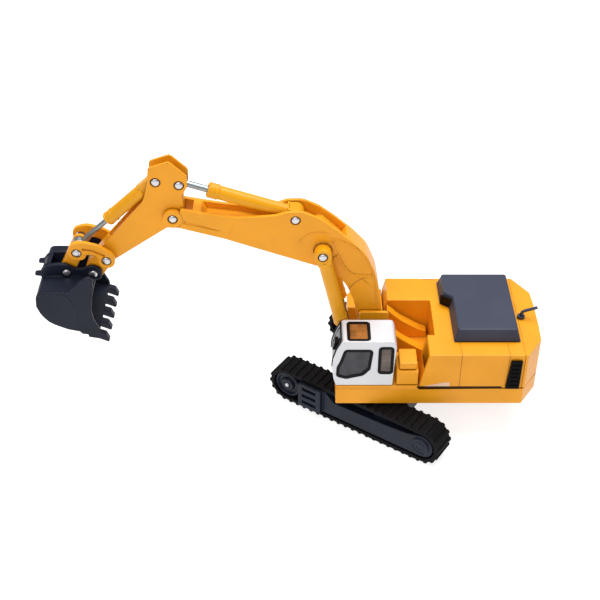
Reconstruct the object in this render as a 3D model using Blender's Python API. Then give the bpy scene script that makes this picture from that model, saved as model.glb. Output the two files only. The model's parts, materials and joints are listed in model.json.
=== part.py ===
"""Die-cast toy excavator: crawler undercarriage, turning upper structure with a cab, and a jointed
boom, arm and bucket with their cylinders.

Machine coordinates are millimetres from the swing axis on the ground: -X is the front of the machine,
-Y is its left side (the cab side), +Z is up. The undercarriage has its own axes, turned under the
upper structure by SWING_AT_REST.
"""

import math

import bmesh
import bpy
from mathutils import Matrix, Vector

MM = 0.001

# ---- driving dimensions, in millimetres ----
SWING_AT_REST = math.radians(34.0)    # how far the upper structure stands turned on its tracks
BOX_CENTRE = (-39.80, 0.56)           # middle of the whole toy, seen from above, from the swing axis

GAP = 0.3                             # clearance between two pieces that touch
PIN_R = 1.6                           # pivot pins
PIN_HOLE_R = 1.9

# undercarriage
IDLER_X = -32.2
SPROCKET_X = 30.2
WHEEL_Z = 8.3
TRACK_IN = 17.0                       # belt's inner and outer edges, from the middle plane
TRACK_OUT = 27.0
BELT_OUT_R = 7.6                      # belt's outer face round the wheels, without its grousers
BELT_IN_R = 6.1
GROUSER_H = 0.7
GROUSERS = 52
WHEEL_R = 5.75
AXLE_R = 1.0
RING_TOP = 16.9

# upper structure
SKIRT_Z0 = 17.3
SKIRT_Z1 = 24.8
DECK_Z = 41.5                         # top of the engine housing
HALF_W = 24.3
REAR_X = 49.3
WELL_Y = (-12.0, 9.7)
WELL_X = 15.8
TANK_REAR = -2.4                      # front of the housing on the far side, behind the tank
HOOD_TOP = 46.8

# cab
CAB_Y = (-24.5, -11.1)
CAB_WALL = 0.9
SILL_Z = 26.3                         # top of the raised sill the cab and its platform stand on

# boom group: pivots in the side plane, x and z
BOOM_FOOT = (-8.5, 38.0)
BOOM_CYL_FOOT = (-16.2, 27.6)
TRUNNION = (-27.7, 76.6)
ARM_CYL_BASE = (-37.8, 89.7)
ARM_PIVOT = (-82.7, 90.3)
ARM_ROD_PIN = (-79.8, 103.5)
BUCKET_CYL_BASE = (-88.2, 104.8)
ROCKER_PIN = (-108.5, 72.6)
LINK_PIN = (-119.3, 76.1)
BUCKET_LINK_PIN = (-124.5, 65.7)
BUCKET_PIN = (-114.3, 65.2)

BOOM_HALF = 4.95
ARM_HALF = 3.0
BOOM_CYL_Y = 8.0
BUCKET_HALF = 15.5
BUCKET_CYL_DROP = -4.0                # how far that cylinder dips as the bucket curls, in degrees


# ---- bodies: an empty on each joint's axis, which its pieces are parented to ----
class Body:
    """A rigid group of pieces. Pivot is in the machine's own millimetres."""

    def __init__(self, name, pivot, parent=None, turned=0.0):
        self.pivot = Vector(pivot)
        self.turned = turned
        self.empty = bpy.data.objects.new(name + "_axis", None)
        self.empty.empty_display_size = 4 * MM
        MODEL.objects.link(self.empty)
        if parent is None:
            self.empty.location = self.pivot * MM
            self.empty.rotation_euler.z = turned
            return
        self.empty.parent = parent.empty
        undo = Matrix.Rotation(-parent.turned, 3, "Z")
        self.empty.location = undo @ (self.pivot - parent.pivot) * MM
        self.empty.rotation_euler.z = turned - parent.turned


def new_collection(name):
    group = bpy.data.collections.new(name)
    bpy.context.scene.collection.children.link(group)
    return group


def wipe():
    for thing in list(bpy.data.objects):
        bpy.data.objects.remove(thing, do_unlink=True)


# ---- outlines: lists of (x, z) points in a plane ----
def rounded(points, step=0.35):
    """Replace each (x, z, r) corner by an arc of radius r; plain (x, z) corners stay sharp."""
    out = []
    count = len(points)
    for i, corner in enumerate(points):
        here = Vector(corner[:2])
        if len(corner) < 3:
            out.append(tuple(here))
            continue
        back = (Vector(points[i - 1][:2]) - here).normalized()
        ahead = (Vector(points[(i + 1) % count][:2]) - here).normalized()
        half = back.angle(ahead) / 2
        cut = corner[2] / math.tan(half)
        middle = here + (back + ahead).normalized() * (corner[2] / math.sin(half))
        first = here + back * cut - middle
        last = here + ahead * cut - middle
        sweep = first.angle_signed(last)
        steps = max(2, round(abs(sweep) / step))
        for k in range(steps + 1):
            turn = Matrix.Rotation(-sweep * k / steps, 2)
            out.append(tuple(middle + turn @ first))
    return out


def circle(centre, radius, steps=20):
    turn = math.tau / steps
    return [(centre[0] + radius * math.cos(turn * k), centre[1] + radius * math.sin(turn * k))
            for k in range(steps)]


def slot_outline(start, end, radius, steps=9):
    """A slot with round ends, from start to end."""
    along = math.atan2(end[1] - start[1], end[0] - start[0])
    out = []
    for centre, begin in ((end, along - math.pi / 2), (start, along + math.pi / 2)):
        for k in range(steps + 1):
            a = begin + math.pi * k / steps
            out.append((centre[0] + radius * math.cos(a), centre[1] + radius * math.sin(a)))
    return out


def inset(points, amount):
    """Move a closed anticlockwise outline inwards by amount, keeping its corners mitred."""
    out = []
    count = len(points)
    for i in range(count):
        before, here, after = (Vector(points[(i + k) % count]) for k in (-1, 0, 1))
        a = (here - before).normalized()
        b = (after - here).normalized()
        normal_a = Vector((-a.y, a.x))
        normal_b = Vector((-b.y, b.x))
        out.append(tuple(here + (normal_a + normal_b) * amount / (1 + normal_a.dot(normal_b))))
    return out


# ---- solids, made in millimetres and scaled to metres when they are placed ----
def mesh_object(name, bm):
    bmesh.ops.recalc_face_normals(bm, faces=bm.faces)
    mesh = bpy.data.meshes.new(name)
    bm.to_mesh(mesh)
    bm.free()
    return bpy.data.objects.new(name, mesh)


def extruded(name, outline, low, high, holes=(), upright=True):
    """A flat outline with holes. Upright: outline in x and z, thickness along y from low to high.
    Otherwise the outline lies in x and y and the thickness runs up z."""
    curve = bpy.data.curves.new(name, "CURVE")
    curve.dimensions = "2D"
    curve.fill_mode = "BOTH"
    curve.extrude = (high - low) / 2
    for ring in (outline, *holes):
        spline = curve.splines.new("POLY")
        spline.points.add(len(ring) - 1)
        spline.use_cyclic_u = True
        for point, xy in zip(spline.points, ring):
            point.co = (xy[0], xy[1], 0, 1)
    flat = bpy.data.objects.new(name + "_outline", curve)
    TOOLS.objects.link(flat)
    shape = flat.evaluated_get(bpy.context.evaluated_depsgraph_get())
    mesh = bpy.data.meshes.new_from_object(shape)
    bpy.data.objects.remove(flat, do_unlink=True)
    bm = bmesh.new()
    bm.from_mesh(mesh)
    bpy.data.meshes.remove(mesh)
    bmesh.ops.remove_doubles(bm, verts=bm.verts, dist=0.001)
    move = Matrix.Translation((0, 0, (low + high) / 2))
    if upright:
        move = Matrix.Translation((0, (low + high) / 2, 0)) @ Matrix.Rotation(math.pi / 2, 4, "X")
    bmesh.ops.transform(bm, matrix=move, verts=bm.verts)
    return mesh_object(name, bm)


def box(name, low, high):
    low, high = Vector(low), Vector(high)
    bm = bmesh.new()
    bmesh.ops.create_cube(bm, size=1.0)
    bmesh.ops.scale(bm, vec=high - low, verts=bm.verts)
    bmesh.ops.translate(bm, vec=(low + high) / 2, verts=bm.verts)
    return mesh_object(name, bm)


def rod(name, start, end, radius, steps=20):
    """A plain round bar between two points."""
    start, end = Vector(start), Vector(end)
    bm = bmesh.new()
    bmesh.ops.create_cone(bm, cap_ends=True, segments=steps, radius1=radius, radius2=radius,
                          depth=(end - start).length)
    turn = Vector((0, 0, 1)).rotation_difference(end - start).to_matrix().to_4x4()
    bmesh.ops.transform(bm, matrix=Matrix.Translation((start + end) / 2) @ turn, verts=bm.verts)
    return mesh_object(name, bm)


def turned_part(name, profile, start, end, steps=24):
    """A profile of (radius, distance along) turned about the line from start towards end."""
    bm = bmesh.new()
    verts = [bm.verts.new((radius, 0, along)) for radius, along in profile]
    for a, b in zip(verts, verts[1:]):
        bm.edges.new((a, b))
    if profile[0][0] > 0:
        bm.edges.new((verts[-1], verts[0]))
    bmesh.ops.spin(bm, geom=bm.verts[:] + bm.edges[:], cent=(0, 0, 0), axis=(0, 0, 1),
                   angle=math.tau, steps=steps)
    bmesh.ops.remove_doubles(bm, verts=bm.verts, dist=0.001)
    turn = Vector((0, 0, 1)).rotation_difference(Vector(end) - Vector(start)).to_matrix().to_4x4()
    bmesh.ops.transform(bm, matrix=Matrix.Translation(start) @ turn, verts=bm.verts)
    return mesh_object(name, bm)


def lofted(name, sections):
    """A closed solid through rings of matching points."""
    bm = bmesh.new()
    rings = [[bm.verts.new(point) for point in section] for section in sections]
    for one, two in zip(rings, rings[1:]):
        for k in range(len(one)):
            n = (k + 1) % len(one)
            bm.faces.new((one[k], one[n], two[n], two[k]))
    bmesh.ops.triangulate(bm, faces=bm.faces)
    bm.faces.new(rings[0])
    bm.faces.new(rings[-1])
    return mesh_object(name, bm)


# ---- joining, cutting and placing ----
def boolean(target, operation, tools):
    for tool in tools:
        change = target.modifiers.new(operation.lower(), "BOOLEAN")
        change.operation = operation
        change.solver = "EXACT"
        change.object = tool
        target["tools"] = [*target.get("tools", []), tool.name]
    return target


def join(target, *tools):
    return boolean(target, "UNION", tools)


def cut(target, *tools):
    return boolean(target, "DIFFERENCE", tools)


def place(thing, body, paint=None):
    """Put a finished piece on its body: its origin goes on the body's pivot."""
    for name in thing.get("tools", []):
        place(bpy.data.objects[name], body)
    mesh = thing.data
    mesh.transform(Matrix.Scale(MM, 4) @ Matrix.Translation(-body.pivot))
    thing.parent = body.empty
    if paint is None:
        TOOLS.objects.link(thing)
        thing.hide_render = True
        thing.display_type = "WIRE"
        return thing
    MODEL.objects.link(thing)
    mesh.materials.append(MATERIALS[paint])
    mesh.shade_smooth()
    mesh.set_sharp_from_angle(angle=math.radians(35))
    return thing


def material(name, colour, roughness, metallic=0.0, alpha=1.0):
    made = bpy.data.materials.new(name)
    made.use_nodes = True
    shader = made.node_tree.nodes["Principled BSDF"]
    shader.inputs["Base Color"].default_value = (*colour, 1)
    shader.inputs["Roughness"].default_value = roughness
    shader.inputs["Metallic"].default_value = metallic
    shader.inputs["Alpha"].default_value = alpha
    made.diffuse_color = (*colour, alpha)
    return made


def pivot(point, y=0.0):
    """A point of the side plane as a point in space."""
    return (point[0], y, point[1])


def aim(start, end):
    return (Vector(end) - Vector(start)).normalized()


def across(name, point, reach, radius=PIN_R, steps=20):
    """A round bar across the machine through a point of the side plane."""
    low, high = reach if isinstance(reach, tuple) else (-reach, reach)
    return rod(name, (point[0], low, point[1]), (point[0], high, point[1]), radius, steps)


# ---- undercarriage ----
def car_body(body):
    thing = box("car_body", (-17, -12.5, 5), (16, 12.5, 13))
    cross = box("car_body_legs", (-13, -17.1, 5), (12, 17.1, 11.8))
    ring = rod("car_body_ring", (0, 0, 12.5), (0, 0, RING_TOP), 11.5, 32)
    bore = rod("car_body_bore", (0, 0, 0), (0, 0, 20), 2.3, 16)
    place(cut(join(thing, cross, ring), bore), body, "navy_plastic")


def track_outline(radius, steps=14):
    """The loop a belt's face follows round both wheels."""
    out = []
    for centre, begin in ((SPROCKET_X, -math.pi / 2), (IDLER_X, math.pi / 2)):
        for k in range(steps + 1):
            a = begin + math.pi * k / steps
            out.append((centre + radius * math.cos(a), WHEEL_Z + radius * math.sin(a)))
    return out


def loop_point(distance, radius):
    """The point and outward direction at a distance round the belt's face."""
    run = SPROCKET_X - IDLER_X
    bend = math.pi * BELT_OUT_R
    distance %= 2 * run + 2 * bend
    if distance < run:
        return IDLER_X + distance, WHEEL_Z - radius
    distance -= run
    if distance < bend:
        a = distance / BELT_OUT_R - math.pi / 2
        return SPROCKET_X + radius * math.cos(a), WHEEL_Z + radius * math.sin(a)
    distance -= bend
    if distance < run:
        return SPROCKET_X - distance, WHEEL_Z + radius
    a = (distance - run) / BELT_OUT_R + math.pi / 2
    return IDLER_X + radius * math.cos(a), WHEEL_Z + radius * math.sin(a)


def track_belt(side, sign, body):
    """A rubber belt: one loop with a grouser bar across it at each link."""
    length = 2 * (SPROCKET_X - IDLER_X) + math.tau * BELT_OUT_R
    pitch = length / GROUSERS
    outline = []
    for link in range(GROUSERS):
        for share, height in ((0.0, 0.0), (0.32, 0.0), (0.44, GROUSER_H), (0.76, GROUSER_H), (0.88, 0.0)):
            outline.append(loop_point((link + share) * pitch, BELT_OUT_R + height))
    low, high = sorted((sign * TRACK_IN, sign * TRACK_OUT))
    belt = extruded("track_belt_" + side, outline, low, high, [track_outline(BELT_IN_R)])
    place(belt, body, "track_rubber")


def track_frame(side, sign, body):
    """The side frame inside a belt: inner plate, beam, outer cheek with wheel cover, step plate."""
    def slab(name, outline, near, far, holes=()):
        low, high = sorted((sign * near, sign * far))
        return extruded(name + side, outline, low, high, holes)

    def brick(name, x, z, near, far):
        low, high = sorted((sign * near, sign * far))
        return box(name + side, (x[0], low, z[0]), (x[1], high, z[1]))

    wheels = ((IDLER_X, WHEEL_Z), (SPROCKET_X, WHEEL_Z))
    holes = [circle(w, AXLE_R + GAP, 16) for w in wheels]
    plate = slab("track_frame_", slot_outline(*wheels, 4.4), 17.4, 19.0, holes)
    beam_side = [(-25.6, 2.6), (23.8, 2.6), (23.8, 10.4), (-9.8, 9.7), (-13.8, 13.8), (-25.6, 13.8)]
    beam = slab("beam_", beam_side, 18.7, 26.0)
    lug = slab("lug_", [(7.6, 10.0), (13.2, 10.0), (11.5, 14.0), (9.4, 14.0)], 22.4, 24.2)
    cheek_side = [(-25.5, 2.7), (SPROCKET_X, 2.9), (35.5, 2.9, 5.0), (35.5, 13.5, 5.0), (SPROCKET_X, 13.3),
                  (24.0, 11.6), (13.5, 10.7), (-9.5, 9.9), (-13.7, 13.7), (-25.5, 13.7)]
    cheek = slab("cheek_", rounded(cheek_side), 25.7, 26.7)
    cover = slab("wheel_cover_", circle((SPROCKET_X, WHEEL_Z), 3.9, 24), 26.6, 27.3)
    step = brick("step_", (-25.4, -14.8), (2.5, 14.1), 26.5, 28.6)
    slots = [brick("step_slot_%d_" % k, (-23.6, -17.0), (4.4 + 3.4 * k, 6.0 + 3.4 * k), 27.6, 29.0)
             for k in range(3)]
    place(cut(join(plate, beam, lug, cheek, cover, step), *slots), body, "navy_plastic")


def track_wheels(side, sign, body, idler, sprocket):
    """Front idler with a hub, rear drive wheel with shallow teeth, and the pins they run on."""
    middle = (0, sign * 19.3)
    rim = [(AXLE_R + 0.2, 0), (WHEEL_R, 0), (WHEEL_R, 6.9), (4.9, 6.9), (4.5, 5.9), (3.1, 5.9),
           (2.7, 7.1), (AXLE_R + 0.2, 7.1)]
    start = (IDLER_X, middle[1], WHEEL_Z)
    end = (IDLER_X, middle[1] + sign, WHEEL_Z)
    place(turned_part("idler_" + side, rim, start, end, 28), idler, "navy_plastic")

    teeth = 14
    outline = []
    for k in range(teeth):
        for share, radius in ((0.0, WHEEL_R), (0.5, WHEEL_R), (0.6, 5.1), (0.9, 5.1)):
            a = math.tau * (k + share) / teeth
            outline.append((SPROCKET_X + radius * math.cos(a), WHEEL_Z + radius * math.sin(a)))
    low, high = sorted((middle[1], middle[1] + sign * 6.0))
    hole = circle((SPROCKET_X, WHEEL_Z), AXLE_R + 0.2, 16)
    place(extruded("drive_sprocket_" + side, outline, low, high, [hole]), sprocket, "navy_plastic")

    reach = {"idler_axle_": (IDLER_X, 27.0), "sprocket_axle_": (SPROCKET_X, 25.4)}
    for name, (x, far) in reach.items():
        low, high = sorted((sign * 16.8, sign * far))
        place(across(name + side, (x, WHEEL_Z), (low, high), AXLE_R, 16), body, "pin_steel")


# ---- upper structure ----
def deck(body):
    """The turntable deck: a skirted plate, open below, which the whole upper structure sits on."""
    plan = [(-22.4, -24.6), (50.0, -24.6), (56.6, -15.0), (56.6, 15.0), (50.0, 24.6), (-14.6, 24.6),
            (-17.4, 20.6), (-17.4, 10.4), (-20.0, 10.4), (-20.0, -9.6), (-22.4, -9.6)]
    plate = extruded("deck", plan, SKIRT_Z1 - 2.0, SKIRT_Z1, upright=False)
    rim = extruded("deck_rim", plan, SKIRT_Z0, SKIRT_Z1 - 1.9, [inset(plan, 1.6)], upright=False)
    sill = box("deck_sill", (-22.3, -24.4, SKIRT_Z1 - 0.5), (9.2, WELL_Y[0] + 0.6, SILL_Z))
    boss = rod("deck_boss", (0, 0, RING_TOP + GAP), (0, 0, SKIRT_Z1 - 1.9), 11.5, 32)
    bore = rod("deck_bore", (0, 0, 0), (0, 0, 30), 2.3, 16)
    sink = rod("deck_sink", (0, 0, SKIRT_Z1 - 1.3), (0, 0, 30), 3.8, 16)
    place(cut(join(plate, rim, boss, sill), bore, sink), body, "yellow_paint")
    rivet = [(0, 3.9), (4.2, 3.9), (4.2, 4.7), (2.0, 4.7), (2.0, 23.8), (3.4, 23.8), (3.4, 24.6), (0, 24.6)]
    place(turned_part("swing_rivet", rivet, (0, 0, 0), (0, 0, 1), 16), body, "pin_steel")


def engine_housing(body):
    """The shell over the engine: left side wall, far side wall and the deck behind the boom."""
    well_low, well_high = WELL_Y
    plan = [(9.7, -HALF_W), (REAR_X, -HALF_W), (REAR_X, HALF_W), (TANK_REAR, HALF_W),
            (TANK_REAR, well_high), (WELL_X, well_high), (WELL_X, well_low), (9.7, well_low)]
    bottom = SKIRT_Z1 + GAP
    shell = extruded("engine_housing", plan, bottom, DECK_Z, upright=False)
    hollow = extruded("housing_hollow", inset(plan, 1.7), bottom - 5, DECK_Z - 1.7, upright=False)
    slope = [(5.0, bottom - 5), (9.7, bottom - 0.1), (13.0, DECK_Z + 0.1), (13.0, DECK_Z + 5),
             (5.0, DECK_Z + 5)]
    wedge = extruded("housing_slope", slope, -HALF_W - 5, well_low + 0.01)
    front = [(-6.0, 36.6), (TANK_REAR, 36.6), (-1.2, DECK_Z + 0.1), (-1.2, DECK_Z + 5), (-6.0, DECK_Z + 5)]
    far_wedge = extruded("housing_front", front, well_high - 0.5, HALF_W + 5)
    place(cut(shell, hollow, wedge, far_wedge), body, "yellow_paint")


def counterweight(body):
    plan = [(REAR_X + GAP, -HALF_W), (50.4, -HALF_W), (56.6, -14.8), (57.0, -6.0), (57.0, 6.0),
            (56.6, 14.8), (50.4, HALF_W), (REAR_X + GAP, HALF_W)]
    place(extruded("counterweight", plan, SKIRT_Z1 + GAP, DECK_Z, upright=False), body, "yellow_paint")


def hood_plan(shrink):
    """The engine cover's L-shaped plan, drawn in by its sloping sides."""
    plan = [(22.9, -16.6), (48.4, -16.6), (48.4, 21.5), (19.5, 21.5), (19.5, 7.8), (22.9, 5.2)]
    return inset(plan, shrink)


def engine_hood(body):
    base, top = DECK_Z + GAP, HOOD_TOP

    def ring(shrink, z):
        return [(x, y, z) for x, y in hood_plan(shrink)]

    shell = lofted("engine_hood", [ring(0, base), ring(1.4, top)])
    hollow = lofted("hood_hollow", [ring(0.7, base - 1), ring(2.3, top - 1.1)])
    place(cut(shell, hollow), body, "hood_grey")


def exhaust(body):
    """A tail pipe: up from its flange, then bent back."""
    route = [(50.6, -1.4, 42.2), (50.6, -1.4, 43.4), (50.9, -1.4, 44.3), (51.8, -1.4, 44.9),
             (56.6, -1.4, 46.6)]
    curve = bpy.data.curves.new("exhaust_pipe", "CURVE")
    curve.dimensions = "3D"
    curve.bevel_depth = 0.62
    curve.bevel_resolution = 2
    curve.use_fill_caps = True
    spline = curve.splines.new("POLY")
    spline.points.add(len(route) - 1)
    for point, xyz in zip(spline.points, route):
        point.co = (*xyz, 1)
    line = bpy.data.objects.new("exhaust_route", curve)
    TOOLS.objects.link(line)
    mesh = bpy.data.meshes.new_from_object(line.evaluated_get(bpy.context.evaluated_depsgraph_get()))
    bpy.data.objects.remove(line, do_unlink=True)
    bm = bmesh.new()
    bm.from_mesh(mesh)
    bpy.data.meshes.remove(mesh)
    bmesh.ops.remove_doubles(bm, verts=bm.verts, dist=0.001)
    pipe = mesh_object("exhaust_pipe", bm)
    flange = rod("exhaust_flange", (50.6, -1.4, DECK_Z + GAP), (50.6, -1.4, 42.6), 1.5, 16)
    place(join(pipe, flange), body, "hood_grey")


def vents(body):
    """The radiator grilles on both sides, each with shallow louvre slots."""
    outline = [(42.9, 25.5), (48.2, 25.5), (48.2, 39.2), (43.9, 39.2)]
    for side, sign in (("left", -1), ("right", 1)):
        low, high = sorted((sign * (HALF_W + GAP), sign * (HALF_W + GAP + 0.7)))
        grille = extruded("vent_grille_" + side, outline, low, high)
        slots = []
        for k in range(6):
            low, high = sorted((sign * (HALF_W + GAP + 0.4), sign * (HALF_W + 3)))
            z = 27.0 + 2 * k
            slots.append(box("vent_slot_%s_%d" % (side, k), (44.4, low, z), (47.4, high, z + 0.9)))
        place(cut(grille, *slots), body, "black_plastic")


def side_steps(body):
    """The low platform behind the cab with the tool box on it, and the tank on the far side."""
    base = SILL_Z + GAP
    place(box("side_platform", (0.9, -HALF_W, base), (9.2, WELL_Y[0] - 0.4, 33.4)), body, "yellow_paint")
    place(box("tool_box", (1.9, -23.4, 33.4 + GAP), (8.6, -14.4, 36.7)), body, "yellow_paint")
    tank = [(-17.0, 11.4), (-13.0, 11.4), (-13.0, 9.9), (TANK_REAR - GAP, 9.9), (TANK_REAR - GAP, 24.2),
            (-14.4, 24.2), (-17.0, 20.4)]
    place(extruded("fuel_tank", tank, SKIRT_Z1 + GAP, 36.5, upright=False), body, "yellow_paint")


def boom_mount(body):
    """The bracket in the well: two cheeks that hold the boom foot, a curved rib behind each of them,
    and a nose for the cylinders."""
    base = SKIRT_Z1 + GAP
    floor = box("boom_mount", (-19.0, -5.9, base), (15.0, 5.9, base + 1.6))
    near_cheek = [(-13.4, base + 0.5), (-1.0, base + 0.5), (-1.0, 38.6), (-2.1, 48.3, 1.4), (-13.4, 48.5, 1.2)]
    far_cheek = [(-13.4, base + 0.5), (-1.0, base + 0.5), (-1.0, 35.6), (-4.2, 36.2, 1.2), (-4.8, 48.3, 1.4),
                 (-13.4, 48.5, 1.2)]
    rib = [(-1.5, base + 0.5), (14.6, base + 0.5), (14.6, 29.8), (12.0, 30.6), (4.0, 35.6, 14), (-1.1, 40.3),
           (-1.5, 40.5)]
    fins = [extruded("cheek_left", rounded(near_cheek), -6.8, -5.4),
            extruded("cheek_right", rounded(far_cheek), 5.4, 6.8),
            extruded("rib_left", rounded(rib), -8.4, -4.3), extruded("rib_right", rounded(rib), 4.3, 8.4)]
    nose_outline = [(-18.8, base + 0.5), (-12.0, base + 0.5), (-13.2, 30.2, 2), (-18.7, 30.2, 2.6)]
    nose = extruded("cylinder_nose", rounded(nose_outline), -5.6, 5.6)
    bores = [across("mount_bore", BOOM_FOOT, 9, PIN_HOLE_R),
             across("cylinder_bore", BOOM_CYL_FOOT, 9, PIN_HOLE_R - 0.2)]
    place(cut(join(floor, *fins, nose), *bores), body, "yellow_paint")
    place(across("boom_foot_pin", BOOM_FOOT, 7.1), body, "pin_steel")
    place(across("cylinder_foot_pin", BOOM_CYL_FOOT, 10.0, PIN_R - 0.2), body, "pin_steel")


# ---- cab ----
def cab_profile(shrink=0.0):
    """The cab's side view, anticlockwise, drawn in by the wall's thickness."""
    base = SILL_Z + GAP
    side = [(-22.4, base), (-0.6, base), (-0.3, 36.0), (0.3, 45.6), (-0.7, 48.3, 1.6), (-20.2, 48.3, 1.8),
            (-22.3, 43.9), (-23.6, 39.6), (-24.0, 35.4), (-23.4, 30.0)]
    return inset(rounded(side), shrink)


def window_outlines():
    """The cab's window openings: left door and side window in x and z, others as boxes."""
    door = [(-20.5, 31.2), (-18.6, 30.6, 1), (-12.4, 32.2, 1.5), (-10.0, 35.0), (-9.1, 43.9, 1),
            (-18.9, 43.9, 1), (-20.4, 38.6), (-21.6, 35.6), (-21.8, 31.6, 1)]
    side = [(-5.9, 33.0, 0.9), (-1.3, 33.0, 0.9), (-1.3, 45.2, 0.9), (-5.9, 45.2, 0.9)]
    return {"door": rounded(door), "side": rounded(side)}


def cab(body):
    low, high = CAB_Y
    wall = CAB_WALL
    base = SILL_Z
    shell = extruded("cab_shell", cab_profile(), low, high)
    hollow = extruded("cab_hollow", cab_profile(wall), low + wall, high - wall)
    under = box("cab_under", (-21.2, low + wall + 0.2, base - 3), (-1.8, high - wall - 0.2, base + 3))
    windows = window_outlines()
    openings = [
        extruded("door_opening", windows["door"], low - 1, low + 2),
        extruded("side_opening", windows["side"], low - 1, low + 2),
        extruded("right_opening", rounded([(-20.6, 33, 1), (-4.0, 33, 1), (-4.0, 45, 1), (-18.9, 45, 1)]),
                 high - 2, high + 1),
        box("front_opening", (-30, low + 1.5, 33.4), (-18.0, high - 1.5, 46.8)),
        box("roof_opening", (-17.9, low + 2.6, 46), (-10.1, high - 1.9, 52)),
        box("rear_opening", (-3, low + 2.2, 36.0), (3, high - 2.2, 45.0)),
    ]
    place(cut(shell, hollow, under, *openings), body, "cab_white")

    def pane(name, outline, y, thickness=0.55):
        glass = extruded(name, inset(outline, GAP), y, y + thickness)
        place(glass, body, "clear_plastic")

    pane("door_window", windows["door"], low + 0.15)
    pane("side_window", windows["side"], low + 0.15)
    right_pane = rounded([(-20.6, 33, 1), (-4.0, 33, 1), (-4.0, 45, 1), (-18.9, 45, 1)])
    pane("right_window", right_pane, high - 0.7)
    place(box("roof_window", (-17.6, low + 2.9, 47.5), (-10.4, high - 2.2, 48.05)), body, "clear_plastic")
    place(box("rear_window", (-0.95, low + 2.5, 36.3), (-0.4, high - 2.5, 44.7)), body, "clear_plastic")
    outer, inner = cab_profile(0.1), cab_profile(0.7)
    sheet = extruded("windshield", outer, low + 1.8, high - 1.8, [inner])
    keep = box("windshield_reach", (-30, low, 33.7), (-18.6, high, 46.5))
    boolean(sheet, "INTERSECT", [keep])
    place(sheet, body, "clear_plastic")

    seat_outline = [(-14.0, 28.6), (-6.2, 28.6), (-5.0, 38.6, 0.8), (-6.8, 38.6, 0.8), (-8.2, 31.4),
                    (-14.0, 31.0, 0.8)]
    seat = extruded("driver_seat", rounded(seat_outline), low + 3.6, high - 3.6)
    post = box("seat_base", (-12.6, low + 4.8, base + GAP), (-7.4, high - 4.8, 28.8))
    place(join(seat, post), body, "black_plastic")
    console_outline = [(-20.4, base + GAP), (-18.0, base + GAP), (-17.4, 34.4, 0.6), (-19.2, 34.8, 0.6)]
    console = extruded("control_console", rounded(console_outline), low + 4.4, high - 4.4)
    place(console, body, "black_plastic")


# ---- boom ----
def boom(body):
    """The cranked boom: a casting with an open channel on top and a fork at each end."""
    side = [(-79.7, 94.4), (-72.0, 92.9), (-58.9, 90.7, 40), (-45.0, 91.8), (-41.0, 93.2, 4),
            (-35.2, 93.4, 6),
            (-29.1, 90.5, 10), (-22.8, 85.5), (-16.6, 79.9), (-11.0, 73.6, 10), (-7.4, 65.0, 20),
            (-6.0, 57.0),
            (-4.5, 46.0), (-4.2, 34.2, 3.9), (-12.9, 34.2, 3.9), (-13.4, 40.5), (-14.2, 46.0),
            (-15.6, 53.0),
            (-18.6, 60.5, 12), (-24.0, 67.0, 7), (-30.2, 69.4), (-51.2, 77.0), (-63.5, 81.5), (-81.4, 86.7)]
    beam = extruded("boom", rounded(side), -BOOM_HALF, BOOM_HALF)
    head = across("boom_head", ARM_PIVOT, BOOM_HALF + 0.2, 3.7, 28)
    boss = across("trunnion_boss", TRUNNION, BOOM_HALF + 0.3, 3.9, 24)
    slot = ARM_HALF + 0.35
    fork = box("fork_slot", (-95, -slot, 80), (-75.4, slot, 100))
    channel = [(-73.6, 95.0), (-70.5, 90.0), (-58.0, 88.4), (-50.0, 86.2), (-43.5, 85.2), (-33.0, 84.8),
               (-30.0, 87.2), (-27.8, 87.0), (-20.6, 79.9), (-17.0, 84.0), (-28.0, 96.0)]
    groove = extruded("top_channel", channel, -3.5, 3.5)
    bores = [across("boom_bore_%d" % k, point, 9, PIN_HOLE_R)
             for k, point in enumerate((BOOM_FOOT, TRUNNION, ARM_PIVOT, ARM_CYL_BASE))]
    place(cut(join(beam, head, boss), fork, groove, *bores), body, "yellow_paint")
    place(across("trunnion_pin", TRUNNION, 10.4), body, "pin_steel")
    place(across("arm_cylinder_base_pin", ARM_CYL_BASE, BOOM_HALF + 0.35), body, "pin_steel")
    place(across("arm_pivot_pin", ARM_PIVOT, BOOM_HALF + 0.35), body, "pin_steel")


# ---- hydraulic cylinders ----
def cylinder_barrel(name, base, tip, y, sizes, body):
    """A barrel from its base eye towards tip, with a collar and a bore at the open end.
    sizes: radius, length, collar radius, bore radius, where the bore starts, eye radius, eye half width,
    where the round part starts."""
    radius, length, collar, bore, bore_from, eye, half, begin = sizes
    way = aim((base[0], y, base[1]), (tip[0], y, tip[1]))
    root = Vector((base[0], y, base[1]))
    profile = [(0, begin), (radius - 0.5, begin), (radius, begin + 0.6), (radius, length - 4.4),
               (collar, length - 4.0), (collar, length - 0.4), (collar - 0.4, length), (bore, length),
               (bore, bore_from), (0, bore_from)]
    ring = extruded(name, circle(base, eye, 24), y - half, y + half)
    tube = turned_part(name + "_tube", profile, root, root + way, 24)
    neck = lofted(name + "_neck", [[tuple(root + way * along + Vector((way.z, 0, -way.x)) * s * eye * 0.8
                                          + Vector((0, t * half, 0)))
                                    for s, t in ((-1, -1), (1, -1), (1, 1), (-1, 1))]
                                   for along in (0.5, begin + 1.2)])
    hole = across(name + "_hole", base, (y - 9, y + 9), PIN_HOLE_R)
    place(cut(join(ring, neck, tube), hole), body, "yellow_paint")


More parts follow.
